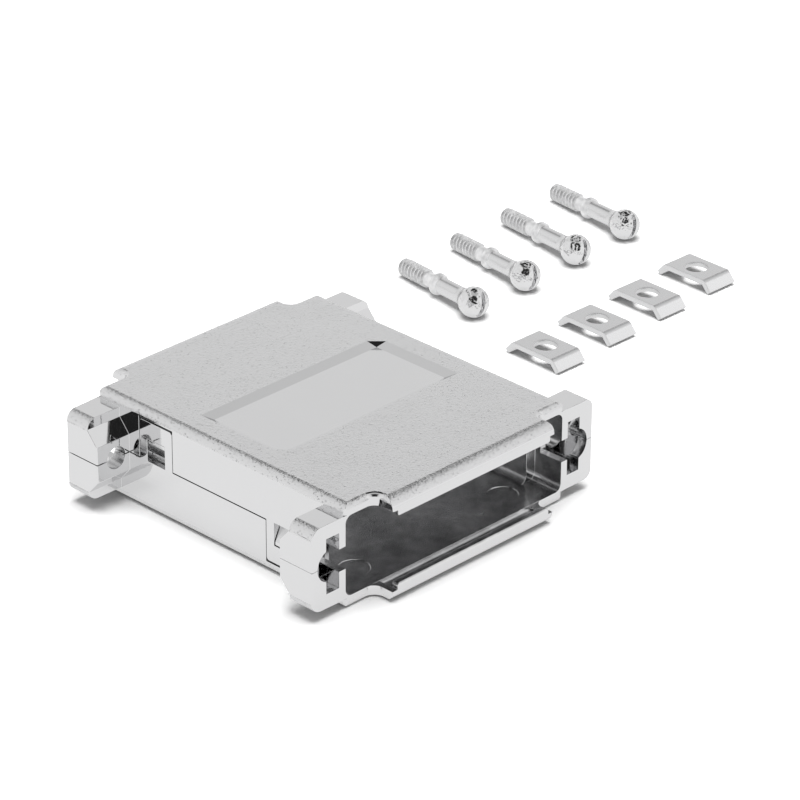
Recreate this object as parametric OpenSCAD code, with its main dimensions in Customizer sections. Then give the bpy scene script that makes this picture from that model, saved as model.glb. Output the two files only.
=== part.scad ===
// Two-part metal adapter hood for a 25-way D-shaped connector at each end,
// with its four captive jack screws and four retaining clips laid out beside it.
// X runs across the hood, Y from the front mouth (-Y) to the rear mouth (+Y), Z up.
// The origin is on the surface that the hood stands on, below the middle of the hood.

/* [Shell] */
// Height of one half shell, from the parting plane to its outer panel
half_h = 7.75; // [7.25:0.25:9]
// Width over the side walls
shell_w = 42.2; // [42.2:0.2:43]
// Length between the front and rear mounting faces
face_span = 47.8; // [46:0.2:60]
// Thickness of the outer panel
panel_t = 1.75; // [1.6:0.05:2]
// Thickness of a side wall
wall_t = 2.05; // [1.9:0.05:2.6]
// Rounding of the panel's edge along the side walls
side_edge_r = 1.25; // [0.6:0.05:1.3]
// Rounding of the panel's edge over the mounting faces, in the scallops and beside the lips
face_edge_r = 0.8; // [0.2:0.05:0.85]
// Plan radius of the shell's corners
corner_r = 0.5; // [0.2:0.1:0.8]
// Half of the visible line between the two side walls
rim_gap = 0.08; // [0.04:0.02:0.15]

/* [Lips] */
// Width of a lip, which stands out over the connector flange
lip_w = 31; // [28:0.2:33]
// How far a lip stands out from the mounting face
lip_reach = 3.45; // [3:0.05:4.5]
// Rounding of a lip's outer edge, over the full thickness of the panel
lip_edge_r = 1.9; // [1:0.1:2]
// Plan radius of a lip's outer corners
lip_corner_r = 0.2; // [0.1:0.1:1.2]
// Radius of the scallop between a lip and the mounting face
scallop_r = 1.4; // [1:0.1:1.8]
// Width of the hook along a lip's edge
hook_w = 29.2; // [26:0.2:29.2]
// Thickness of the hook
hook_t = 1.1; // [0.8:0.05:1.3]
// Height of the hook above the lip's inner face
hook_h = 1; // [0.6:0.05:1.4]
// Rounding of the hook's free edge
hook_r = 0.3; // [0.2:0.05:0.4]
// Rounding of the hook's two ends
hook_end_r = 0.5; // [0.2:0.1:0.8]
// Depth of the groove behind the hook
groove_d = 0.4; // [0.2:0.05:0.6]

/* [Connector pocket] */
// Width of the pocket behind each mounting face
pocket_w = 41.6; // [41:0.1:41.6]
// Depth of the pocket behind the mounting face
pocket_d = 4.9; // [4.2:0.1:4.9]
// Radius of the corners of the pocket and the cavity
cavity_r = 1.1; // [0.8:0.1:1.4]
// Distance of an ejector mark from the middle, across the shell
ejector_x = 14.4; // [8:0.2:16]
// Diameter of an ejector mark
ejector_d = 4.4; // [3:0.1:5]
// Depth of an ejector mark
ejector_depth = 0.12; // [0.05:0.01:0.3]

/* [Mounting blocks] */
// Distance between the screw axes at one end
screw_pitch = 47.04; // [47:0.02:47.4]
// Width over the blocks
blocks_w = 54; // [53.4:0.1:55]
// Height of a block's flat face above the parting plane
block_h = 6.23; // [5.8:0.05:6.4]
// Length of a block along its flat outer face
block_top_l = 4.25; // [4:0.05:4.6]
// Length of a block at the parting plane
block_root_l = 6.1; // [5.8:0.1:7]
// Height above the parting plane at which a block's bevel starts
bevel_z = 2.7; // [2.4:0.1:3.6]
// Height above the parting plane at which the bevel meets the upright step below the flat outer face
bevel_top_z = 4.8; // [4.2:0.1:5.6]
// Rounding of a block's outer long edges
block_r = 1.6; // [1:0.1:2]
// Rounding of a block's upright edges
block_side_r = 0.2; // [0.1:0.1:0.8]

/* [Screw pockets] */
// Bore that a jack screw turns in
bore_d = 3.3; // [3:0.05:3.6]
// Thickness of the web between a screw pocket and the connector pocket
web_t = 1.2; // [1:0.05:1.3]
// Width of the slot in the mounting face, beside the web
slot_w = 2.35; // [2:0.05:2.6]
// Height of the slot above the parting plane
slot_z = 4.1; // [3.6:0.1:4.6]
// Radius of the round relief about the screw axis
relief_r = 2.4; // [2.2:0.05:2.5]
// Thickness of the skin that the slot is cut through
skin_t = 1.6; // [1.2:0.1:2]
// Depth of the chamber behind the mounting face
chamber_d = 3.9; // [3.5:0.1:4]

/* [Snap latches] */
// Distance of a latch from the middle of the side wall
latch_y = 12.4; // [9:0.1:12.6]
// Width of a latch tongue
latch_w = 6.45; // [5.6:0.05:7]
// Length of a latch tongue past the parting plane
latch_l = 6.05; // [5.6:0.05:6.1]
// Thickness of a latch tongue
latch_t = 0.95; // [0.8:0.05:1]
// Width of the window in a tongue
window_w = 3.5; // [3:0.1:3.8]
// Height of the window in a tongue
window_h = 3.4; // [3:0.1:3.8]
// Running clearance about a tongue and about its catch
latch_gap = 0.1; // [0.08:0.01:0.2]
// Clearance past the end of a tongue
tip_gap = 0.3; // [0.2:0.05:0.4]
// Rounding of a tongue's end corners
tongue_r = 0.5; // [0.3:0.1:0.8]

/* [Label recess] */
// Width of the shallow recess in the outer panel
recess_w = 33.6; // [26:0.2:35]
// Length of the recess
recess_l = 15.8; // [12:0.2:18]
// Depth of the recess
recess_d = 0.7; // [0.3:0.05:0.9]
// How far the recess narrows on each side, down its sloped walls
recess_slope = 1.3; // [0.4:0.1:2]

/* [Jack screw] */
// Diameter over the thread
thread_d = 2.84; // [2.6:0.02:2.9]
// Length of the thread
thread_l = 6.5; // [5:0.1:8]
// Diameter of the neck that the clip snaps round
neck_d = 2.3; // [1.8:0.05:2.4]
// Length of the neck
neck_l = 1.6; // [0.9:0.1:3]
// Diameter of the collar
collar_d = 3.4; // [3:0.05:3.6]
// Length of the collar, with its two cones
collar_l = 1.7; // [1.5:0.1:2.4]
// Diameter of the smooth shank
shank_d = 2.6; // [2.4:0.05:2.8]
// Length of the smooth shank
shank_l = 4.8; // [3.6:0.1:6]
// Diameter of the ball head
ball_d = 4.75; // [4.4:0.05:5.4]
// Length of the flare between the shank and the ball's middle
flare_l = 3.2; // [2.8:0.1:3.6]
// Width of the driver slot
driver_w = 0.65; // [0.5:0.05:0.9]
// Depth of the driver slot
driver_d = 1.2; // [0.8:0.05:1.5]
// Turn of the driver slot from upright, in degrees
driver_turn = -16; // [-30:2:30]

/* [Retaining clip] */
// Width of the clip
clip_w = 5.7; // [5.4:0.1:6.4]
// Length of the flat middle
clip_l = 7.3; // [5:0.1:8]
// Sheet thickness
clip_t = 0.8; // [0.5:0.05:0.9]
// Hole for the screw's neck
clip_hole_d = 3.6; // [3:0.1:3.8]
// Inner radius of a bend
bend_r = 0.15; // [0.1:0.05:0.5]
// Length of a leg past its bend
leg_l = 1.6; // [1.2:0.05:2.2]
// Angle between a leg and the flat middle
leg_angle = 49; // [31:2:59]

/* [Layout beside the hood] */
// Place of the first screw's ball head, across and along the hood
screw_x = 54.2; // [52:0.2:60]
screw_y = 24.5; // [22:0.5:30]
// Step from one screw to the next, across and along the hood
screw_step_x = 12.25; // [8:0.25:16]
screw_step_y = 0.82; // [0:0.02:1]
// Place of the first clip's hole, across and along the hood
clip_x = 51.7; // [50:0.1:58]
clip_y = 7.5; // [6:0.1:9]
// Step from one clip to the next, across and along the hood
clip_step_x = 12; // [9:0.25:16]
clip_step_y = 0.62; // [0:0.02:1]
// Turn of the screws away from the hood's length, in degrees
screw_turn = -9.5; // [-15:0.5:0]
// Turn of the clips away from the hood's length, in degrees
clip_turn = -1; // [-10:0.5:0]

/* [Hidden] */
SCREWS = 4;
CLIPS = 4;
$fn = 64;
// Overlap that makes cuts pass cleanly and joins solid
eps = 0.02;
// Length by which a cutter runs out past the solid that it cuts
run_out = 1;
plated = [0.80, 0.80, 0.81];
bright_steel = [0.74, 0.74, 0.75];

wall_x = shell_w / 2;
face_y = face_span / 2;
ceiling_z = half_h - panel_t;
lip_x = lip_w / 2;
lip_y = face_y + lip_reach;
pocket_x = pocket_w / 2;
cavity_x = wall_x - wall_t;
cavity_y = face_y - pocket_d;
axis_x = screw_pitch / 2;
web_x = pocket_x + web_t;
block_x = blocks_w / 2;
// A block runs this far into the body, so that it joins the side wall and the web
block_root_x = wall_x - wall_t;
notch_t = latch_t + latch_gap / 2;
// The catch starts above the parting plane with a lead-in ramp
catch_lead = 0.9;
catch_flat = 0.5;
latch_root = 1;

ball_r = ball_d / 2;
thread_r = thread_d / 2;
thread_chamfer = 0.35;
neck_z = thread_l;
collar_z = neck_z + neck_l;
shank_z = collar_z + collar_l;
flare_z = shank_z + shank_l;
ball_z = flare_z + flare_l;
// Distance from the ball's middle back to where the flare meets the ball
flare_meet = ball_r * 0.75;
flare_meet_r = sqrt(ball_r * ball_r - flare_meet * flare_meet);
// Lying down, a screw rests on its ball and on the rim of its thread
rest_arm = ball_z - thread_chamfer;
screw_tilt = asin(ball_r / norm([rest_arm, thread_r])) - atan(thread_r / rest_arm);

// Height of the flat middle's upper face above the inner corner of a leg's end
clip_h = bend_r + clip_t - bend_r * cos(leg_angle) + leg_l * sin(leg_angle);

// Corner that a rounding takes away: the edge's outer face is at x = r, its top at y = 0
module round_off_2d(r) {
    difference() {
        translate([0, -r])
            square([r + eps, r + eps]);
        translate([0, -r])
            circle(r);
    }
}

// Cutter for a straight top edge along +X whose outer face looks to +Y at y = 0
module straight_cut(len, r) {
    translate([0, -r, 0])
        rotate([90, 0, 90])
            linear_extrude(len)
                round_off_2d(r);
}

// Cutter for a quarter turn of inner corner, about a void of radius void_r
module inner_arc_cut(void_r, r) {
    rotate_extrude(angle = 90)
        translate([void_r + r, 0])
            mirror([1, 0])
                round_off_2d(r);
}

module rounded_rect(w, l, r) {
    square([w - 2 * r, l], center = true);
    square([w, l - 2 * r], center = true);
    for (sx = [-1, 1], sy = [-1, 1])
        translate([sx * (w / 2 - r), sy * (l / 2 - r)])
            circle(r);
}

module each_quarter() {
    for (mx = [0, 1], my = [0, 1])
        mirror([mx, 0, 0])
            mirror([0, my, 0])
                children();
}

// Plan of the outer panel: the body, a lip at each end and the scallops beside them
module panel_plan() {
    rounded_rect(shell_w, face_span, corner_r);
    rounded_rect(lip_w, 2 * lip_y, lip_corner_r);
    each_quarter()
        difference() {
            translate([lip_x - eps, face_y - eps])
                square(scallop_r + eps);
            translate([lip_x + scallop_r, face_y + scallop_r])
                circle(scallop_r);
        }
}

// Rounds the whole outer edge of the panel, one quarter of its plan at a time
module panel_edge_cuts() {
    scallop_x = lip_x + scallop_r;
    scallop_y = face_y + scallop_r;
    each_quarter()
        translate([0, 0, half_h]) {
            translate([wall_x, face_y + run_out, 0])
                rotate([0, 0, -90])
                    straight_cut(face_y + run_out, side_edge_r);
            translate([scallop_x, face_y, 0])
                straight_cut(wall_x + run_out - scallop_x, face_edge_r);
            translate([scallop_x, scallop_y, 0])
                rotate([0, 0, 180])
                    inner_arc_cut(scallop_r, face_edge_r);
            translate([lip_x, lip_y + run_out, 0])
                rotate([0, 0, -90])
                    straight_cut(lip_y + run_out - scallop_y, face_edge_r);
            translate([0, lip_y, 0])
                straight_cut(lip_x + run_out, lip_edge_r);
        }
}

// Section of a cavity with rounded corners under the panel
module cavity_2d(half_w) {
    translate([-half_w, -run_out])
        square([2 * half_w, run_out + ceiling_z - cavity_r]);
    translate([-half_w + cavity_r, -run_out])
        square([2 * (half_w - cavity_r), run_out + ceiling_z]);
    for (sx = [-1, 1])
        translate([sx * (half_w - cavity_r), ceiling_z - cavity_r])
            circle(cavity_r);
}

module cavities() {
    translate([0, cavity_y + eps, 0])
        rotate([90, 0, 0])
            linear_extrude(2 * (cavity_y + eps))
                cavity_2d(cavity_x);
    for (my = [0, 1])
        mirror([0, my, 0])
            translate([0, face_y + eps, 0])
                rotate([90, 0, 0])
                    linear_extrude(pocket_d + eps)
                        cavity_2d(pocket_x);
}

// Section of the hook, hanging from the panel, with its two lower corners rounded
module hook_2d(w, r) {
    translate([-w / 2, ceiling_z - hook_h + r])
        square([w, hook_h - r + eps]);
    translate([-w / 2 + r, ceiling_z - hook_h])
        square([w - 2 * r, hook_h]);
    for (s = [-1, 1])
        translate([s * (w / 2 - r), ceiling_z - hook_h + r])
            circle(r);
}

// Hook along the outer edge of a lip, rounded along its free edge and at its ends
module hook() {
    translate([0, lip_y - hook_t / 2, 0])
        intersection() {
            translate([-hook_w / 2, 0, 0])
                rotate([90, 0, 90])
                    linear_extrude(hook_w)
                        hook_2d(hook_t, hook_r);
            translate([0, hook_t / 2, 0])
                rotate([90, 0, 0])
                    linear_extrude(hook_t)
                        hook_2d(hook_w, hook_end_r);
        }
}

module groove() {
    translate([-hook_w / 2, face_y - eps, ceiling_z - eps])
        cube([hook_w, lip_reach - hook_t + eps, groove_d + eps]);
}

// Side view of a block, from its mounting face at y = 0 inwards
module block_side_2d() {
    polygon([[0, 0],
             [0, block_h],
             [-block_top_l, block_h],
             [-block_top_l, bevel_top_z],
             [-block_root_l, bevel_z],
             [-block_root_l, 0]]);
}

module mounting_block() {
    len_x = block_x - block_root_x;
    intersection() {
        translate([block_root_x, face_y, 0])
            rotate([90, 0, 90])
                linear_extrude(len_x)
                    block_side_2d();
        translate([0, face_y, 0])
            rotate([90, 0, 0])
                linear_extrude(block_root_l) {
                    square([block_x - block_r, block_h]);
                    square([block_x, block_h - block_r]);
                    translate([block_x - block_r, block_h - block_r])
                        circle(block_r);
                }
        translate([block_x - len_x, face_y - block_root_l, 0])
            linear_extrude(block_h) {
                square([len_x - block_side_r, block_root_l]);
                translate([0, block_side_r])
                    square([len_x, block_root_l - 2 * block_side_r]);
                for (y = [block_side_r, block_root_l - block_side_r])
                    translate([len_x - block_side_r, y])
                        circle(block_side_r);
            }
    }
}

// Slot, round relief, chamber and bore for one jack screw
module screw_pocket() {
    translate([web_x, face_y - skin_t - eps, -eps])
        cube([slot_w, skin_t + 2 * eps, slot_z + eps]);
    intersection() {
        translate([axis_x, face_y + eps, 0])
            rotate([90, 0, 0])
                cylinder(r = relief_r, h = skin_t + 2 * eps);
        translate([web_x, face_y - skin_t - eps, -eps])
            cube([block_x - web_x, skin_t + 2 * eps, relief_r + 2 * eps]);
    }
    translate([web_x, face_y - chamber_d, -eps])
        cube([axis_x + relief_r - web_x, chamber_d - skin_t, slot_z + eps]);
    translate([axis_x, face_y - chamber_d + eps, 0])
        rotate([90, 0, 0])
            cylinder(d = bore_d, h = block_root_l - chamber_d + 2 * eps);
    // The web is open beside the screw, from the mounting face to the back of the chamber
    translate([pocket_x - eps, face_y - chamber_d, -eps])
        cube([web_t + 2 * eps, chamber_d + eps, bore_d / 2 + eps]);
}

// Tongue that reaches past the parting plane, on the wall at -X
module latch_tongue() {
    top_w = latch_w - 2 * tongue_r;
    translate([-wall_x, -latch_y, 0])
        rotate([90, 0, 90])
            linear_extrude(latch_t)
                difference() {
                    union() {
                        translate([-latch_w / 2, tongue_r - latch_l])
                            square([latch_w, latch_l + latch_root - tongue_r]);
                        translate([-top_w / 2, -latch_l])
                            square([top_w, latch_l]);
                        for (sy = [-1, 1])
                            translate([sy * top_w / 2, tongue_r - latch_l])
                                circle(tongue_r);
                    }
                    translate([-window_w / 2, -window_h])
                        square([window_w, window_h + rim_gap]);
                }
}

// Recess in the wall at -X that takes the other shell's tongue
module latch_notch() {
    notch_w = latch_w + 2 * latch_gap;
    translate([-wall_x - run_out, latch_y - notch_w / 2, -run_out])
        cube([run_out + notch_t, notch_w, run_out + latch_l + tip_gap]);
}

// Ramped catch that stands in the other tongue's window
module latch_catch() {
    catch_w = window_w - 2 * latch_gap;
    top_z = window_h - latch_gap;
    translate([-wall_x + notch_t + eps, latch_y + catch_w / 2, 0])
        rotate([90, 0, 0])
            linear_extrude(catch_w)
                polygon([[0, catch_lead],
                         [0, top_z],
                         [latch_gap - notch_t, top_z],
                         [latch_gap - notch_t, top_z - catch_flat]]);
}

// Section of the recess, with walls that slope out past the panel's face at y = 0
module recess_2d(w) {
    over = run_out * recess_slope / recess_d;
    polygon([[-w / 2 - over, run_out],
             [recess_slope - w / 2, -recess_d],
             [w / 2 - recess_slope, -recess_d],
             [w / 2 + over, run_out]]);
}

// Shallow recess with four sloped walls, for a label
module label_recess() {
    long = recess_w + recess_l;
    translate([0, 0, half_h])
        intersection() {
            translate([0, long / 2, 0])
                rotate([90, 0, 0])
                    linear_extrude(long)
                        recess_2d(recess_w);
            translate([-long / 2, 0, 0])
                rotate([90, 0, 90])
                    linear_extrude(long)
                        recess_2d(recess_l);
        }
}

// Round marks of the ejector pins, in the cavity's ceiling where the pockets begin
module ejector_marks() {
    each_quarter()
        translate([ejector_x, cavity_y, ceiling_z - eps])
            cylinder(d = ejector_d, h = ejector_depth + eps);
}

// The half shell, with its parting plane at z = 0 and its panel on top
module half_shell() {
    difference() {
        union() {
            translate([0, 0, ceiling_z - eps])
                linear_extrude(panel_t + eps)
                    panel_plan();
            translate([0, 0, rim_gap])
                linear_extrude(ceiling_z - rim_gap)
                    rounded_rect(shell_w, face_span, corner_r);
            each_quarter() mounting_block();
            for (a = [0, 180])
                rotate([0, 0, a])
                    hook();
        }
        panel_edge_cuts();
        cavities();
        ejector_marks();
        label_recess();
        each_quarter() screw_pocket();
        for (a = [0, 180])
            rotate([0, 0, a]) {
                groove();
                latch_notch();
            }
    }
    for (a = [0, 180])
        rotate([0, 0, a]) {
            latch_tongue();
            latch_catch();
        }
}

module upper_shell() {
    color(plated)
        translate([0, 0, half_h])
            half_shell();
}

// The same shell, turned over about the X axis
module lower_shell() {
    color(plated)
        translate([0, 0, half_h])
            rotate([180, 0, 0])
                half_shell();
}

// Screw on its own axis: the free end of the thread at z = 0, the ball head on top
module screw_form() {
    bead_r = 0.25;
    cone_l = (collar_l - 2 * bead_r) / 2;
    difference() {
        union() {
            cylinder(r1 = thread_r - thread_chamfer, r2 = thread_r, h = thread_chamfer);
            translate([0, 0, thread_chamfer])
                cylinder(r = thread_r, h = thread_l - 2 * thread_chamfer);
            translate([0, 0, thread_l - thread_chamfer])
                cylinder(r1 = thread_r, r2 = neck_d / 2, h = thread_chamfer);
            translate([0, 0, neck_z - eps])
                cylinder(d = neck_d, h = neck_l + 2 * eps);
            translate([0, 0, collar_z])
                cylinder(d1 = neck_d, d2 = collar_d, h = cone_l);
            translate([0, 0, collar_z + cone_l])
                cylinder(d = collar_d, h = 2 * bead_r);
            translate([0, 0, collar_z + cone_l + 2 * bead_r])
                cylinder(d1 = collar_d, d2 = shank_d, h = cone_l);
            translate([0, 0, shank_z - eps])
                cylinder(d = shank_d, h = shank_l + 2 * eps);
            translate([0, 0, flare_z])
                cylinder(r1 = shank_d / 2, r2 = flare_meet_r, h = flare_l - flare_meet);
            translate([0, 0, ball_z])
                sphere(ball_r);
        }
        translate([0, 0, ball_z + ball_r - driver_d / 2 + eps])
            cube([driver_w, ball_d, driver_d + 2 * eps], center = true);
    }
}

module jack_screw(i) {
    color(bright_steel)
        translate([screw_x + (i - 1) * screw_step_x, screw_y + (i - 1) * screw_step_y, ball_r])
            rotate([0, 0, screw_turn])
                rotate([90 - screw_tilt, 0, 0])
                    rotate([0, 0, driver_turn])
                        translate([0, 0, -ball_z])
                            screw_form();
}

// One bend and leg in side view, from the end of the flat middle at y = 0, outer face at z = 0
module leg_2d() {
    out_r = bend_r + clip_t;
    translate([0, -out_r]) {
        difference() {
            circle(out_r);
            circle(bend_r);
            translate([-2 * out_r, -2 * out_r])
                square([2 * out_r, 4 * out_r]);
            rotate(-leg_angle)
                translate([0, -2 * out_r])
                    square([2 * out_r, 4 * out_r]);
        }
        rotate(-leg_angle)
            translate([-eps, bend_r])
                square([leg_l + eps, clip_t]);
    }
}

module clip_side_2d() {
    translate([-clip_l / 2 - eps, -clip_t])
        square([clip_l + 2 * eps, clip_t]);
    for (m = [0, 1])
        mirror([m, 0])
            translate([clip_l / 2, 0])
                leg_2d();
}

module retaining_clip(i) {
    color(bright_steel)
        translate([clip_x + (i - 1) * clip_step_x, clip_y + (i - 1) * clip_step_y, 0])
            rotate([0, 0, clip_turn])
                difference() {
                    translate([-clip_w / 2, 0, clip_h])
                        rotate([90, 0, 90])
                            linear_extrude(clip_w)
                                clip_side_2d();
                    translate([0, 0, -run_out])
                        cylinder(d = clip_hole_d, h = clip_h + 2 * run_out);
                }
}

upper_shell();
lower_shell();
for (i = [1:SCREWS])
    jack_screw(i);
for (i = [1:CLIPS])
    retaining_clip(i);
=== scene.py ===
# Plated metal adapter hood with its jack screws and retaining clips, dressed for its picture.
import math

import bmesh
import bpy
from mathutils import Matrix, Vector


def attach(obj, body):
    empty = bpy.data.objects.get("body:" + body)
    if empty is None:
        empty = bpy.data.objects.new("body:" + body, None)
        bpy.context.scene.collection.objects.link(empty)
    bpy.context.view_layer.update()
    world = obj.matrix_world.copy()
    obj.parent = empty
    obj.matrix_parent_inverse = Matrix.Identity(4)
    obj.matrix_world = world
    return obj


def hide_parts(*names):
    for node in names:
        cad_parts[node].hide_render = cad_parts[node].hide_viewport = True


MM = 0.001

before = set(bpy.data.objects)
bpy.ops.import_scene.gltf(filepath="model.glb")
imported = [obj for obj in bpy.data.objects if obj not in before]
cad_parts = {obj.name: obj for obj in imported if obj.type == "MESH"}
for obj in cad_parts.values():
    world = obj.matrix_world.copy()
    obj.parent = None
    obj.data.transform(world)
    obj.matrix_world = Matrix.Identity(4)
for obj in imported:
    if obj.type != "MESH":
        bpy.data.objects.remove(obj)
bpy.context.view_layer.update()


# Camera: a long lens, three quarter view from the front left

CAMERA_AT = Vector((-349.13, -355.16, 272.03)) * MM
CAMERA_AZIMUTH = math.radians(-45.598)
CAMERA_ELEVATION = math.radians(27.337)
CAMERA_ROLL = math.radians(0.342)
CAMERA_LENS = 184.74


def set_camera():
    az, el, roll = CAMERA_AZIMUTH, CAMERA_ELEVATION, CAMERA_ROLL
    back = Vector((math.sin(az) * math.cos(el), -math.cos(az) * math.cos(el), math.sin(el)))
    level = Vector((0, 0, 1)).cross(back).normalized()
    upright = back.cross(level)
    right = math.cos(roll) * level + math.sin(roll) * upright
    up = -math.sin(roll) * level + math.cos(roll) * upright
    data = bpy.data.cameras.new("camera")
    data.sensor_width = 36
    data.lens = CAMERA_LENS
    data.clip_start = 0.01
    data.clip_end = 20
    camera = bpy.data.objects.new("camera", data)
    turn = Matrix((right, up, back)).transposed().to_4x4()
    camera.matrix_world = Matrix.Translation(CAMERA_AT) @ turn
    bpy.context.scene.collection.objects.link(camera)
    bpy.context.scene.camera = camera


# Node helpers

def node(tree, kind, at=(0, 0), **settings):
    made = tree.nodes.new(kind)
    made.location = at
    for name, value in settings.items():
        setattr(made, name, value)
    return made


def set_inputs(made, **values):
    for name, value in values.items():
        made.inputs[name.replace("_", " ")].default_value = value


def blank_material(name):
    made = bpy.data.materials.new(name)
    made.use_nodes = True
    made.node_tree.nodes.clear()
    return made, made.node_tree


# Finishes

def plating_group():
    """Thin nickel over a casting: cloudy tone, fine grain and a slow waviness."""
    tree = bpy.data.node_groups.new("plating", "ShaderNodeTree")
    face = tree.interface
    for name, kind, value in (("Tone", "NodeSocketColor", (0.8, 0.8, 0.81, 1)),
                              ("Cloud Depth", "NodeSocketFloat", 0.04),
                              ("Cloud Size", "NodeSocketFloat", 120.0),
                              ("Grain Depth", "NodeSocketFloat", 0.0),
                              ("Grain Size", "NodeSocketFloat", 3200.0),
                              ("Pit Depth", "NodeSocketFloat", 0.0),
                              ("Wave Depth", "NodeSocketFloat", 0.2),
                              ("Wave Size", "NodeSocketFloat", 160.0),
                              ("Roughness", "NodeSocketFloat", 0.1),
                              ("Roughness Spread", "NodeSocketFloat", 0.04)):
        socket = face.new_socket(name, in_out="INPUT", socket_type=kind)
        socket.default_value = value
    for name, kind in (("Tone", "NodeSocketColor"), ("Roughness", "NodeSocketFloat"),
                       ("Height", "NodeSocketFloat")):
        face.new_socket(name, in_out="OUTPUT", socket_type=kind)
    given = node(tree, "NodeGroupInput", (-900, 0))
    put = node(tree, "NodeGroupOutput", (700, 0))
    place = node(tree, "ShaderNodeTexCoord", (-900, -400))
    link = tree.links.new

    def noise(size, at, detail, rough):
        made = node(tree, "ShaderNodeTexNoise", at)
        set_inputs(made, Detail=detail, Roughness=rough)
        link(place.outputs["Object"], made.inputs["Vector"])
        link(given.outputs[size], made.inputs["Scale"])
        return made.outputs[0]

    cloud = noise("Cloud Size", (-600, 200), 3.0, 0.55)
    grain = noise("Grain Size", (-600, -100), 2.0, 0.6)
    wave = noise("Wave Size", (-600, -400), 1.0, 0.4)

    def times(a, b, at, operation="MULTIPLY"):
        made = node(tree, "ShaderNodeMath", at, operation=operation)
        for socket, value in zip(made.inputs, (a, b)):
            if isinstance(value, float):
                socket.default_value = value
            else:
                link(value, socket)
        return made.outputs[0]

    centred = times(cloud, 0.5, (-380, 200), "SUBTRACT")
    swing = times(centred, given.outputs["Cloud Depth"], (-200, 200))
    gain = times(swing, 1.0, (-20, 200), "ADD")
    tone = node(tree, "ShaderNodeVectorMath", (200, 200), operation="SCALE")
    link(given.outputs["Tone"], tone.inputs[0])
    link(gain, tone.inputs["Scale"])
    link(tone.outputs[0], put.inputs["Tone"])
    spread = times(centred, given.outputs["Roughness Spread"], (-200, 0))
    link(times(spread, given.outputs["Roughness"], (-20, 0), "ADD"), put.inputs["Roughness"])
    fine = times(grain, given.outputs["Grain Depth"], (-200, -150))
    pits = node(tree, "ShaderNodeMapRange", (-380, -550))
    set_inputs(pits, From_Min=0.64, From_Max=0.74)
    link(grain, pits.inputs["Value"])
    sunk = times(pits.outputs[0], given.outputs["Pit Depth"], (-200, -550))
    slow = times(wave, given.outputs["Wave Depth"], (-200, -350))
    level = times(fine, slow, (-20, -250), "ADD")
    link(times(level, sunk, (160, -300), "SUBTRACT"), put.inputs["Height"])
    return tree


PLATING = plating_group()


def plated_material(name, bump=0.02, metallic=1.0, **values):
    """A metal finish whose tone, roughness and height come from the plating group; bump is in mm."""
    made, tree = blank_material(name)
    shader = node(tree, "ShaderNodeBsdfPrincipled", (300, 0))
    set_inputs(shader, Metallic=metallic)
    out = node(tree, "ShaderNodeOutputMaterial", (600, 0))
    coat = node(tree, "ShaderNodeGroup", (-300, 0), node_tree=PLATING)
    set_inputs(coat, **values)
    rise = node(tree, "ShaderNodeBump", (0, -250))
    set_inputs(rise, Strength=1.0, Distance=bump * MM)
    link = tree.links.new
    link(coat.outputs["Tone"], shader.inputs["Base Color"])
    link(coat.outputs["Roughness"], shader.inputs["Roughness"])
    link(coat.outputs["Height"], rise.inputs["Height"])
    link(rise.outputs["Normal"], shader.inputs["Normal"])
    link(shader.outputs["BSDF"], out.inputs["Surface"])
    return made


def grey(level):
    """A metal tone with the faint blue of nickel."""
    return (level, level, level + 0.005, 1)


NICKEL = grey(0.74)
grained_panel = plated_material("grained panel", Tone=NICKEL, Grain_Depth=0.35, Grain_Size=2600.0,
                                Pit_Depth=1.8, Roughness=0.2, Roughness_Spread=0.1, Wave_Depth=0.4, bump=0.1)
cast_edge = plated_material("cast edge", Tone=NICKEL, Grain_Depth=1.0, Grain_Size=2600.0, Pit_Depth=1.5,
                            Roughness=0.35, Roughness_Spread=0.1, Wave_Depth=0.6, bump=0.1)
label_floor = plated_material("label recess floor", Tone=NICKEL, Grain_Depth=0.15, Roughness=0.12,
                              Roughness_Spread=0.03, bump=0.01)
polished_side = plated_material("polished side", Tone=NICKEL, Roughness=0.06, bump=0.01)
# Painted shade: a darker grey with cloudy blotches, for the hollows, the undersides of the lips and the
# bores.
cavity_painted_shade = plated_material("cavity, painted shade", Tone=grey(0.6), Cloud_Depth=1.4, Cloud_Size=260.0,
                              Roughness=0.22, Roughness_Spread=0.2, bump=0.012)
turned_steel = plated_material("turned steel", Tone=NICKEL, Roughness=0.26, Cloud_Size=500.0,
                               Wave_Size=700.0, bump=0.01)
bright_ball = plated_material("bright ball", Tone=grey(0.76), Roughness=0.09, Cloud_Size=500.0,
                              Wave_Size=1500.0, Wave_Depth=1.0, bump=0.26)
# Painted highlight: the collar is toned lighter than the shank's steel; it is also rougher and only partly
# metallic.
collar_painted_highlight = plated_material("soft collar, painted highlight", metallic=0.7, Tone=grey(0.92), Roughness=0.42, Cloud_Depth=0.7,
                              Cloud_Size=900.0, Grain_Depth=0.8, Grain_Size=1800.0, bump=0.1)
# Painted highlight and painted shade: the crests take a light tone with strong cloudy swings, the roots a
# darker, duller tone of the same steel.
crest_painted_highlight = plated_material("thread crest, painted highlight", metallic=0.85, Tone=grey(0.95), Roughness=0.2, Cloud_Depth=1.3,
                               Cloud_Size=1400.0, Grain_Depth=1.0, Grain_Size=1500.0, bump=0.3)
root_painted_shade = plated_material("thread root, painted shade", metallic=0.6, Tone=NICKEL, Roughness=0.4, Cloud_Depth=0.9,
                              Cloud_Size=1400.0, bump=0.01)
clip_sheet = plated_material("plated sheet", Tone=grey(0.7), Roughness=0.2, Grain_Depth=0.5,
                             Cloud_Size=300.0, bump=0.01)
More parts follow.
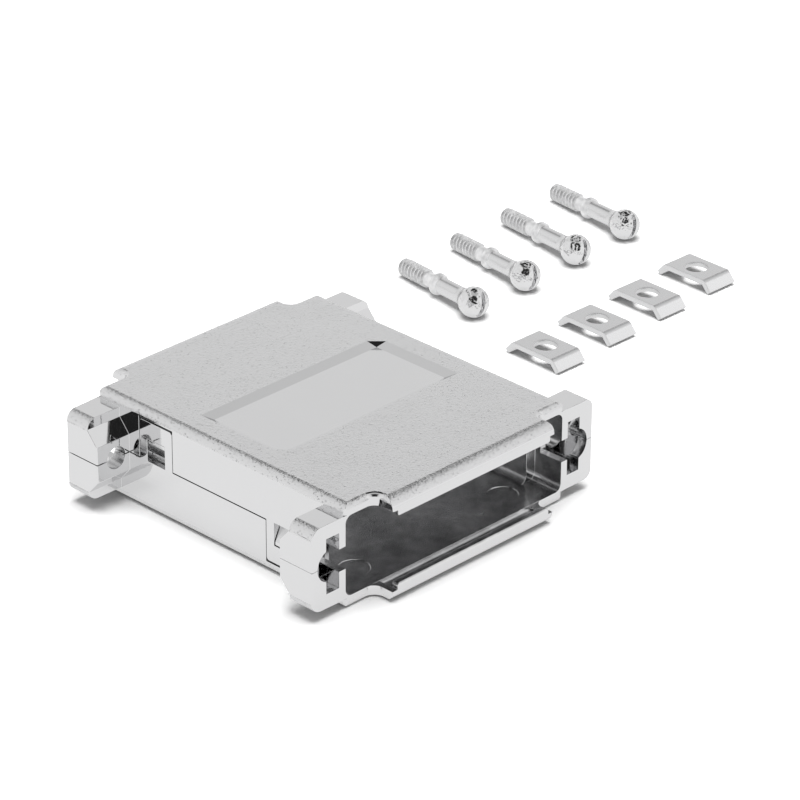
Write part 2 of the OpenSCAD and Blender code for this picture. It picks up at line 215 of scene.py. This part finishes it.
# Painted highlight: the legs and the bends are toned lighter than the flat sheet of the same clip.
leg_painted_highlight = plated_material("leg, painted highlight", Tone=grey(0.84), Roughness=0.16, Grain_Depth=0.8,
                           Cloud_Size=300.0, bump=0.02)
bend_painted_highlight = plated_material("bent sheet, painted highlight", Tone=grey(0.8), Roughness=0.55, Grain_Depth=0.8,
                            Cloud_Size=300.0, bump=0.03)


# Pieces

def keep_mesh(bm, name, materials, stands_for):
    """Turns the bmesh into a piece that stands for a CAD node."""
    data = bpy.data.meshes.new(name)
    bm.to_mesh(data)
    bm.free()
    for material in materials:
        data.materials.append(material)
    piece = bpy.data.objects.new(name, data)
    bpy.context.scene.collection.objects.link(piece)
    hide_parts(stands_for)
    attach(piece, "root")
    return piece


def merged_copy(cad_node):
    bm = bmesh.new()
    bm.from_mesh(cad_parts[cad_node].data)
    bmesh.ops.remove_doubles(bm, verts=bm.verts, dist=2e-6)
    bmesh.ops.dissolve_limit(bm, angle_limit=math.radians(0.5), verts=bm.verts, edges=bm.edges)
    return bm


# Half shell: heights from the surface that the hood stands on
NEAR = 0.1 * MM
PARTING = 7.75 * MM
PANEL_TOP = 15.5 * MM
# Distances from the hood's middle
LABEL_HALF = Vector((16.8, 7.9)) * MM
CAVITY_X = 20.85 * MM
LIP_HALF = 17.0 * MM
BLOCK_INNER_X = 21.3 * MM
BLOCK_OUTER_Y = 27.2 * MM
BORE_X = 23.52 * MM
POCKET_R = 3.0 * MM
# Heights above the parting plane
LABEL_RISE = 6.0 * MM
PANEL_EDGE = 6.8 * MM
CAVITY_RISE = 6.2 * MM
# Gap that the parting line opens on each side, and the tighter one on the front blocks
PARTING_LINE = 0.06 * MM
TIGHT_PARTING_LINE = 0.015 * MM
# How far from a recess corner its slopes are creased, and how far the corner is drawn in
LABEL_CORNER = 1.9 * MM
CORNER_DRAW = 0.95 * MM
SHELL_BREAK = 0.06 * MM
CLIP_BREAK = 0.05 * MM
SHARP_EDGE = math.radians(25)
RECESS_EDGE = math.radians(8)


def over_label(at):
    """True for a point within the label recess, seen from above."""
    return abs(at.x) < LABEL_HALF.x + NEAR and abs(at.y) < LABEL_HALF.y + NEAR


def beside_label(e):
    """True for the edges round the label recess and in its corners."""
    return e.calc_face_angle(0) > RECESS_EDGE and all(
        over_label(v.co) and abs(v.co.z - PARTING) > LABEL_RISE for v in e.verts)


def broken_edges(bm, width, segments=2):
    """A small rounding along every sharp edge, but none round the label recess, where they stay crisp."""
    for e in bm.edges:
        e.smooth = not beside_label(e)
    edges = [e for e in bm.edges if e.smooth and e.is_manifold and e.calc_face_angle(0) > SHARP_EDGE]
    bmesh.ops.bevel(bm, geom=edges, offset=width, segments=segments, profile=0.5, affect="EDGES",
                    clamp_overlap=False, material=-1)
    for f in bm.faces:
        f.smooth = True


def shade_pieces(piece):
    """Keeps flat faces flat beside their small roundings."""
    even = piece.modifiers.new("even shading", "WEIGHTED_NORMAL")
    even.keep_sharp = True
    even.weight = 100


SIDE, PANEL, LABEL, CAVITY_SHADE, CAST_EDGE = range(5)


def shell_finish(bm, turned_over):
    """Gives each face of a half shell its finish; the cavity, the undersides of the lips and the bores take a
    darker grey, which is painted shade.
    """
    for f in bm.faces:
        at = f.calc_center_median()
        rise, out = at.z - PARTING, f.normal.z
        if turned_over:
            rise, out = -rise, -out
        flat, faces_mouth = out > 0.99, abs(f.normal.y) >= 0.5
        in_cavity = abs(at.x) < CAVITY_X and rise < CAVITY_RISE and not faces_mouth
        under_lip = out < -0.5 and abs(at.x) < LIP_HALF
        in_block = abs(at.x) > BLOCK_INNER_X and abs(at.y) < BLOCK_OUTER_Y
        in_pocket = in_block and math.hypot(abs(at.x) - BORE_X, rise) < POCKET_R and not faces_mouth
        sloped = 0.05 < out and not flat and min(abs(f.normal.x), abs(f.normal.y)) < 0.05
        if flat and rise > PANEL_TOP - PARTING - NEAR / 5:
            f.material_index = PANEL
        elif flat and over_label(at) and rise > LABEL_RISE:
            # Painted shade: the cavity, the undersides of the lips and the bores take the darker grey.
            f.material_index = LABEL
        elif in_cavity or under_lip or in_pocket:
            f.material_index = CAVITY_SHADE
        elif sloped and not over_label(at) and (rise > PANEL_EDGE or abs(f.normal.x) > 0.1):
            f.material_index = CAST_EDGE


def open_parting_line(bm, turned_over):
    """Draws the faces on the parting plane back, so that a dark line shows between the shells."""
    for v in bm.verts:
        if abs(v.co.z - PARTING) < PARTING_LINE:
            front_block = abs(v.co.x) > BLOCK_INNER_X - NEAR and v.co.y < 0
            gap = TIGHT_PARTING_LINE if front_block else PARTING_LINE
            v.co.z = PARTING + (-gap if turned_over else gap)


def label_valleys(bm):
    """The sloped edges in the two opposite corners of the recess that are blunted."""
    for e in bm.edges:
        along = (e.verts[1].co - e.verts[0].co).normalized()
        middle = (e.verts[1].co + e.verts[0].co) / 2
        off = (abs(middle.x) - LABEL_HALF.x, abs(middle.y) - LABEL_HALF.y)
        sloped = min(abs(along.x), abs(along.y), abs(along.z)) > 0.2
        if sloped and middle.x * middle.y > 0 and max(map(abs, off)) < 1.5 * MM:
            yield e


def blunt_label_corners(bm):
    """Draws two of the recess's upper corners in, and creases the slopes beside them down to their foot."""
    for valley in list(label_valleys(bm)):
        top, foot = sorted(valley.verts, key=lambda v: -abs(v.co.z - PARTING))
        rims = [e for e in top.link_edges
                if all(over_label(v.co) and abs(v.co.z - top.co.z) < NEAR for v in e.verts)]
        for rim in rims:
            crease = bmesh.utils.edge_split(rim, top, LABEL_CORNER / rim.calc_length())[1]
            bmesh.ops.connect_verts(bm, verts=[crease, foot])
        top.co.x -= math.copysign(CORNER_DRAW, top.co.x)
        top.co.y -= math.copysign(CORNER_DRAW, top.co.y)


def make_shells():
    for cad_node, turned_over in (("upper_shell", False), ("lower_shell", True)):
        bm = merged_copy(cad_node)
        open_parting_line(bm, turned_over)
        blunt_label_corners(bm)
        broken_edges(bm, SHELL_BREAK)
        shell_finish(bm, turned_over)
        piece = keep_mesh(bm, cad_node + "_casting",
                          (polished_side, grained_panel, label_floor, cavity_painted_shade, cast_edge),
                          cad_node)
        shade_pieces(piece)


# Jack screw sizes, along its own axis from the free end of the thread
THREAD_R = 1.42 * MM
THREAD_ROOT_R = 1.2 * MM
THREAD_LENGTH = 6.5 * MM
THREAD_CHAMFER = 0.35 * MM
THREAD_PITCH = 0.8 * MM
NECK_R = 1.15 * MM
COLLAR_START = 8.1 * MM
COLLAR_R = 1.7 * MM
CONE_LENGTH = 0.6 * MM
COLLAR_BAND = 0.5 * MM
SHANK_R = 1.3 * MM
SHANK_START = 9.8 * MM
FLARE_START = 14.6 * MM
FLARE_LENGTH = 1.5 * MM
BALL_MIDDLE = 17.8 * MM
BALL_R = 2.375 * MM
RING = 0.1 * MM
DRIVER_WIDTH = 0.65 * MM
DRIVER_DEPTH = 1.2 * MM
SCREW_TURN = math.radians(-9.5)
DRIVER_TURN = math.radians(-16)
FIRST_SCREW = Vector((54.2, 24.5, 2.375)) * MM
SCREW_STEP = Vector((12.25, 0.82, 0)) * MM


def spun(profile, steps=72):
    """A closed body turned about Z from a profile of (radius, height) that starts and ends on the axis."""
    bm = bmesh.new()
    points = [bm.verts.new((r, 0, z)) for r, z in profile]
    edges = [bm.edges.new(pair) for pair in zip(points, points[1:])]
    bmesh.ops.spin(bm, geom=points + edges, cent=(0, 0, 0), axis=(0, 0, 1), angle=math.tau,
                   steps=steps, use_merge=True, use_duplicate=False)
    bmesh.ops.remove_doubles(bm, verts=bm.verts, dist=1e-6)
    bmesh.ops.recalc_face_normals(bm, faces=bm.faces)
    return bm


def ball_points(start, end, count):
    """Points along the ball's outline between two angles from the axis."""
    return [(BALL_R * math.sin(start + (end - start) * i / count),
             BALL_MIDDLE - BALL_R * math.cos(start + (end - start) * i / count)) for i in range(count + 1)]


def screw_body():
    """Neck, coned collar with blunted edges, shank, flare and ball."""
    band = COLLAR_START + CONE_LENGTH
    shank = band + COLLAR_BAND + CONE_LENGTH
    meet = math.asin(math.sqrt(1 - 0.75 ** 2))
    profile = [(0, THREAD_LENGTH - RING), (NECK_R, THREAD_LENGTH - RING), (NECK_R, COLLAR_START),
               (COLLAR_R - 0.12 * MM, band - RING), (COLLAR_R, band + RING / 2),
               (COLLAR_R, band + COLLAR_BAND - RING / 2),
               (COLLAR_R - 0.08 * MM, band + COLLAR_BAND + RING),
               (SHANK_R, shank), (SHANK_R, shank + RING),
               (SHANK_R, FLARE_START - RING), (SHANK_R, FLARE_START)]
    profile += ball_points(meet, math.pi, 24)
    profile[-1] = (0, BALL_MIDDLE + BALL_R)
    return spun(profile)


def screw_thread():
    """One start of thread, wound with its root and crest in one skin and cut square at both ends."""
    bm = bmesh.new()
    p = THREAD_PITCH
    start = -1.5 * p
    turns = int(THREAD_LENGTH / p) + 4
    steps = 48
    ridge = ((THREAD_ROOT_R, 0), (THREAD_ROOT_R, 0.18 * p), (THREAD_R, 0.5 * p), (THREAD_R, 0.62 * p),
             (THREAD_ROOT_R, 0.94 * p), (THREAD_ROOT_R, p))
    points = [bm.verts.new((r, 0, start + z)) for r, z in ridge]
    edges = [bm.edges.new(pair) for pair in zip(points, points[1:])]
    bmesh.ops.spin(bm, geom=points + edges, cent=(0, 0, 0), axis=(0, 0, 1), dvec=(0, 0, p / steps),
                   angle=math.tau * turns, steps=steps * turns, use_merge=False, use_duplicate=False)
    bmesh.ops.remove_doubles(bm, verts=bm.verts, dist=1e-6)
    for height, away in ((0, -1), (THREAD_LENGTH, 1)):
        bmesh.ops.bisect_plane(bm, geom=bm.verts[:] + bm.edges[:] + bm.faces[:], dist=1e-7,
                               plane_co=(0, 0, height), plane_no=(0, 0, away), clear_outer=True)
    bmesh.ops.remove_doubles(bm, verts=bm.verts, dist=1e-6)
    for v in bm.verts:
        reach = math.hypot(v.co.x, v.co.y)
        limit = min(THREAD_R - THREAD_CHAMFER + v.co.z, NECK_R + (THREAD_LENGTH - v.co.z))
        if reach > limit:
            v.co.x *= limit / reach
            v.co.y *= limit / reach
    bmesh.ops.holes_fill(bm, edges=[e for e in bm.edges if e.is_boundary], sides=0)
    bmesh.ops.recalc_face_normals(bm, faces=bm.faces)
    return bm


def cut_driver_slot(piece):
    cutter = bmesh.new()
    bmesh.ops.create_cube(cutter, size=1)
    bmesh.ops.scale(cutter, vec=(DRIVER_WIDTH, 3 * BALL_R, 2 * DRIVER_DEPTH), verts=cutter.verts)
    bmesh.ops.translate(cutter, vec=(0, 0, BALL_MIDDLE + BALL_R), verts=cutter.verts)
    data = bpy.data.meshes.new("driver")
    cutter.to_mesh(data)
    cutter.free()
    blade = bpy.data.objects.new("driver", data)
    bpy.context.scene.collection.objects.link(blade)
    cut = piece.modifiers.new("driver slot", "BOOLEAN")
    cut.object = blade
    cut.solver = "EXACT"
    bpy.context.view_layer.update()
    shaped = bpy.data.meshes.new_from_object(piece.evaluated_get(bpy.context.evaluated_depsgraph_get()))
    piece.modifiers.clear()
    piece.data = shaped
    bpy.data.objects.remove(blade)


SHANK, ROOT, BALL, COLLAR, CREST = range(5)
SMOOTH_BELOW = math.radians(38)


def make_screws():
    rest_arm = BALL_MIDDLE - THREAD_CHAMFER
    tilt = math.asin(BALL_R / math.hypot(rest_arm, THREAD_R)) - math.atan(THREAD_R / rest_arm)
    body = bpy.data.objects.new("screw pattern", bpy.data.meshes.new("screw pattern"))
    made = screw_body()
    made.to_mesh(body.data)
    made.free()
    bpy.context.scene.collection.objects.link(body)
    cut_driver_slot(body)
    bm = screw_thread()
    bm.from_mesh(body.data)
    # Crests get the painted highlight, roots the painted shade, and the collar its own painted highlight.
    for f in bm.faces:
        f.smooth = True
        at = f.calc_center_median()
        if at.z < THREAD_LENGTH:
            in_root = math.hypot(at.x, at.y) < (THREAD_R + THREAD_ROOT_R) / 2
            f.material_index = ROOT if in_root else CREST
        elif at.z > FLARE_START + FLARE_LENGTH:
            f.material_index = BALL
        elif at.z < SHANK_START:
            f.material_index = COLLAR
    for e in bm.edges:
        if e.is_manifold and e.calc_face_angle(0) > SMOOTH_BELOW:
            e.smooth = False
    pattern = body.data
    bm.to_mesh(pattern)
    bm.free()
    bpy.data.objects.remove(body)
    for i in range(4):
        place = (Matrix.Translation(FIRST_SCREW + i * SCREW_STEP) @ Matrix.Rotation(SCREW_TURN, 4, "Z")
                 @ Matrix.Rotation(math.radians(90) - tilt, 4, "X") @ Matrix.Rotation(DRIVER_TURN, 4, "Z")
                 @ Matrix.Translation((0, 0, -BALL_MIDDLE)))
        bm = bmesh.new()
        bm.from_mesh(pattern)
        bmesh.ops.transform(bm, matrix=place, verts=bm.verts)
        keep_mesh(bm, f"threaded_screw_{i + 1}",
                  (turned_steel, root_painted_shade, bright_ball, collar_painted_highlight, crest_painted_highlight),
                  f"jack_screw_{i + 1}")


SHEET, LEG, BEND = range(3)
SMALLEST_LEG = 4 * MM * MM


def make_clips():
    for i in range(1, 5):
        bm = merged_copy(f"retaining_clip_{i}")
        broken_edges(bm, CLIP_BREAK)
        for f in bm.faces:
            # Sloped faces, the legs and the bends, take the lighter painted highlight.
            if 0.1 < f.normal.z < 0.99:
                f.material_index = LEG if f.calc_area() > SMALLEST_LEG else BEND
        piece = keep_mesh(bm, f"sheet_clip_{i}", (clip_sheet, leg_painted_highlight, bend_painted_highlight),
                          f"retaining_clip_{i}")
        shade_pieces(piece)


# Stage and light

# The room that the metal mirrors has one dark stripe, over the vertical plane that the camera looks along
STRIPE_ACROSS = (0.707, -0.707, 0)
STRIPE_BACK = (0.707, 0.707, 0)
# Levels of the room across the stripe, from its far left to its far right
SIDE_LEVELS = ((0.01, 0.97), (0.16, 0.9), (0.24, 0.82), (0.285, 0.66), (0.345, 0.05),
               (0.5, 0.02), (0.66, 0.05), (0.715, 0.65), (0.775, 0.8), (0.9, 1.0))
# How much of the stripe shows, from the back's horizon over the top to the front's
STRIPE_DEPTH = ((0.0, 0), (0.2, 0), (0.225, 1), (0.41, 1), (0.45, 0.35),
                (0.57, 0.35), (0.62, 1), (0.85, 1), (0.9, 0))
# Levels of the room where the stripe doesn't show, along the same way
WALL_LEVELS = ((0.0, 0.93), (0.15, 0.82), (0.22, 0.79), (0.85, 0.98), (1.0, 1.0))
# Strength of the even light that falls on the floor and on rough surfaces
SOFT_ROOM = 0.25
FLOOR_DROP = 0.02 * MM
FLOOR_SEEN = 1.35
FLOOR_SHADED = 0.95
FLOOR_GLOW = 0.98
GLOW_SHARE = 0.8
FLOOR_THROWN = 0.6
LAMP_AT = Vector((0.02, -0.02, 1.2))
LAMP_AIM = Vector((0.03, 0, 0))
LAMP_SIZE = 0.9
LAMP_POWER = 14


def even_grey(level):
    return (level, level, level, 1)


def mirror_ray(tree, light):
    """1 for a ray that comes straight from a mirroring surface, 0 for one that lights the floor's shadow."""
    sharp = node(tree, "ShaderNodeMath", (-250, 450), operation="MAXIMUM")
    tree.links.new(light.outputs["Is Glossy Ray"], sharp.inputs[0])
    tree.links.new(light.outputs["Is Transmission Ray"], sharp.inputs[1])
    straight = node(tree, "ShaderNodeMath", (-250, 650), operation="LESS_THAN")
    straight.inputs[1].default_value = 0.5
    tree.links.new(light.outputs["Diffuse Depth"], straight.inputs[0])
    both = node(tree, "ShaderNodeMath", (-100, 550), operation="MULTIPLY")
    tree.links.new(sharp.outputs[0], both.inputs[0])
    tree.links.new(straight.outputs[0], both.inputs[1])
    return both.outputs[0]


def make_floor():
    """A white floor, a little darker where the metal mirrors it."""
    bm = bmesh.new()
    bmesh.ops.create_grid(bm, x_segments=1, y_segments=1, size=3)
    data = bpy.data.meshes.new("floor")
    bm.to_mesh(data)
    bm.free()
    floor = bpy.data.objects.new("floor", data)
    floor.location = (0, 0, -FLOOR_DROP)
    bpy.context.scene.collection.objects.link(floor)
    made, tree = blank_material("white floor")
    link = tree.links.new
    plain = node(tree, "ShaderNodeBsdfDiffuse", (0, 0))
    set_inputs(plain, Color=even_grey(FLOOR_THROWN))
    bright = node(tree, "ShaderNodeBsdfDiffuse", (0, 200))
    set_inputs(bright, Color=even_grey(FLOOR_SEEN))
    shaded = node(tree, "ShaderNodeBsdfDiffuse", (-200, -200))
    set_inputs(shaded, Color=even_grey(FLOOR_SHADED))
    even = node(tree, "ShaderNodeEmission", (-200, -350))
    set_inputs(even, Color=even_grey(1), Strength=FLOOR_GLOW)
    mirrored = node(tree, "ShaderNodeMixShader", (0, -200))
    mirrored.inputs[0].default_value = GLOW_SHARE
    link(shaded.outputs[0], mirrored.inputs[1])
    link(even.outputs[0], mirrored.inputs[2])
    light = node(tree, "ShaderNodeLightPath", (-300, 500))
    mirror = mirror_ray(tree, light)
    first = node(tree, "ShaderNodeMixShader", (300, -100))
    link(mirror, first.inputs[0])
    link(plain.outputs[0], first.inputs[1])
    link(mirrored.outputs[0], first.inputs[2])
    second = node(tree, "ShaderNodeMixShader", (500, 0))
    link(light.outputs["Is Camera Ray"], second.inputs[0])
    link(first.outputs[0], second.inputs[1])
    link(bright.outputs[0], second.inputs[2])
    out = node(tree, "ShaderNodeOutputMaterial", (700, 0))
    link(second.outputs[0], out.inputs["Surface"])
    data.materials.append(made)


def ramp(tree, at, stops):
    """A grey colour ramp from (position, level) pairs."""
    made = node(tree, "ShaderNodeValToRGB", at)
    bands = made.color_ramp
    for band, (position, level) in zip(bands.elements, (stops[0], stops[-1])):
        band.position = position
        band.color = even_grey(level)
    for position, level in stops[1:-1]:
        bands.elements.new(position).color = even_grey(level)
    return made


def make_world():
    """A pale room with one unlit stripe, from high up at the back, over the top, to the front."""
    world = bpy.data.worlds.new("studio")
    bpy.context.scene.world = world
    world.use_nodes = True
    tree = world.node_tree
    tree.nodes.clear()
    link = tree.links.new
    place = node(tree, "ShaderNodeTexCoord", (-1500, 0))

    def along(direction, at):
        made = node(tree, "ShaderNodeVectorMath", at, operation="DOT_PRODUCT")
        made.inputs[1].default_value = direction
        link(place.outputs["Generated"], made.inputs[0])
        return made.outputs["Value"]

    across = along(STRIPE_ACROSS, (-1300, 200))
    back = along(STRIPE_BACK, (-1300, 0))
    up = along((0, 0, 1), (-1300, -200))
    half = node(tree, "ShaderNodeMapRange", (-1050, 200))
    set_inputs(half, From_Min=-1.0, From_Max=1.0)
    link(across, half.inputs["Value"])
    sides = ramp(tree, (-800, 200), SIDE_LEVELS)
    link(half.outputs[0], sides.inputs[0])
    climb = node(tree, "ShaderNodeMath", (-1050, 0), operation="ARCTAN2")
    link(up, climb.inputs[0])
    link(back, climb.inputs[1])
    part = node(tree, "ShaderNodeMath", (-1050, -200), operation="DIVIDE")
    link(climb.outputs[0], part.inputs[0])
    part.inputs[1].default_value = math.pi
    stripe = ramp(tree, (-800, -100), STRIPE_DEPTH)
    link(part.outputs[0], stripe.inputs[0])
    wall = ramp(tree, (-800, -400), WALL_LEVELS)
    link(part.outputs[0], wall.inputs[0])
    seen_level = node(tree, "ShaderNodeMix", (-450, 0), data_type="RGBA")
    link(stripe.outputs[0], seen_level.inputs[0])
    link(wall.outputs[0], seen_level.inputs[6])
    link(sides.outputs[0], seen_level.inputs[7])
    seen = node(tree, "ShaderNodeBackground", (-100, 0))
    link(seen_level.outputs[2], seen.inputs["Color"])
    soft = node(tree, "ShaderNodeBackground", (-100, -200))
    set_inputs(soft, Color=even_grey(1), Strength=SOFT_ROOM)
    white = node(tree, "ShaderNodeBackground", (-100, 200))
    set_inputs(white, Color=even_grey(1), Strength=1.0)
    light = node(tree, "ShaderNodeLightPath", (-400, 500))
    mirror = mirror_ray(tree, light)
    first = node(tree, "ShaderNodeMixShader", (150, -50))
    link(mirror, first.inputs[0])
    link(soft.outputs[0], first.inputs[1])
    link(seen.outputs[0], first.inputs[2])
    second = node(tree, "ShaderNodeMixShader", (350, 50))
    link(light.outputs["Is Camera Ray"], second.inputs[0])
    link(first.outputs[0], second.inputs[1])
    link(white.outputs[0], second.inputs[2])
    out = node(tree, "ShaderNodeOutputWorld", (550, 0))
    link(second.outputs[0], out.inputs["Surface"])


def make_lamp():
    data = bpy.data.lights.new("overhead", "AREA")
    data.shape = "SQUARE"
    data.size = LAMP_SIZE
    data.energy = LAMP_POWER
    lamp = bpy.data.objects.new("overhead", data)
    lamp.location = LAMP_AT
    lamp.rotation_euler = (LAMP_AIM - LAMP_AT).to_track_quat("-Z", "Y").to_euler()
    lamp.visible_glossy = False
    bpy.context.scene.collection.objects.link(lamp)


set_camera()
make_shells()
make_screws()
make_clips()
make_floor()
make_world()
make_lamp()
bpy.context.scene.view_settings.view_transform = "Standard"
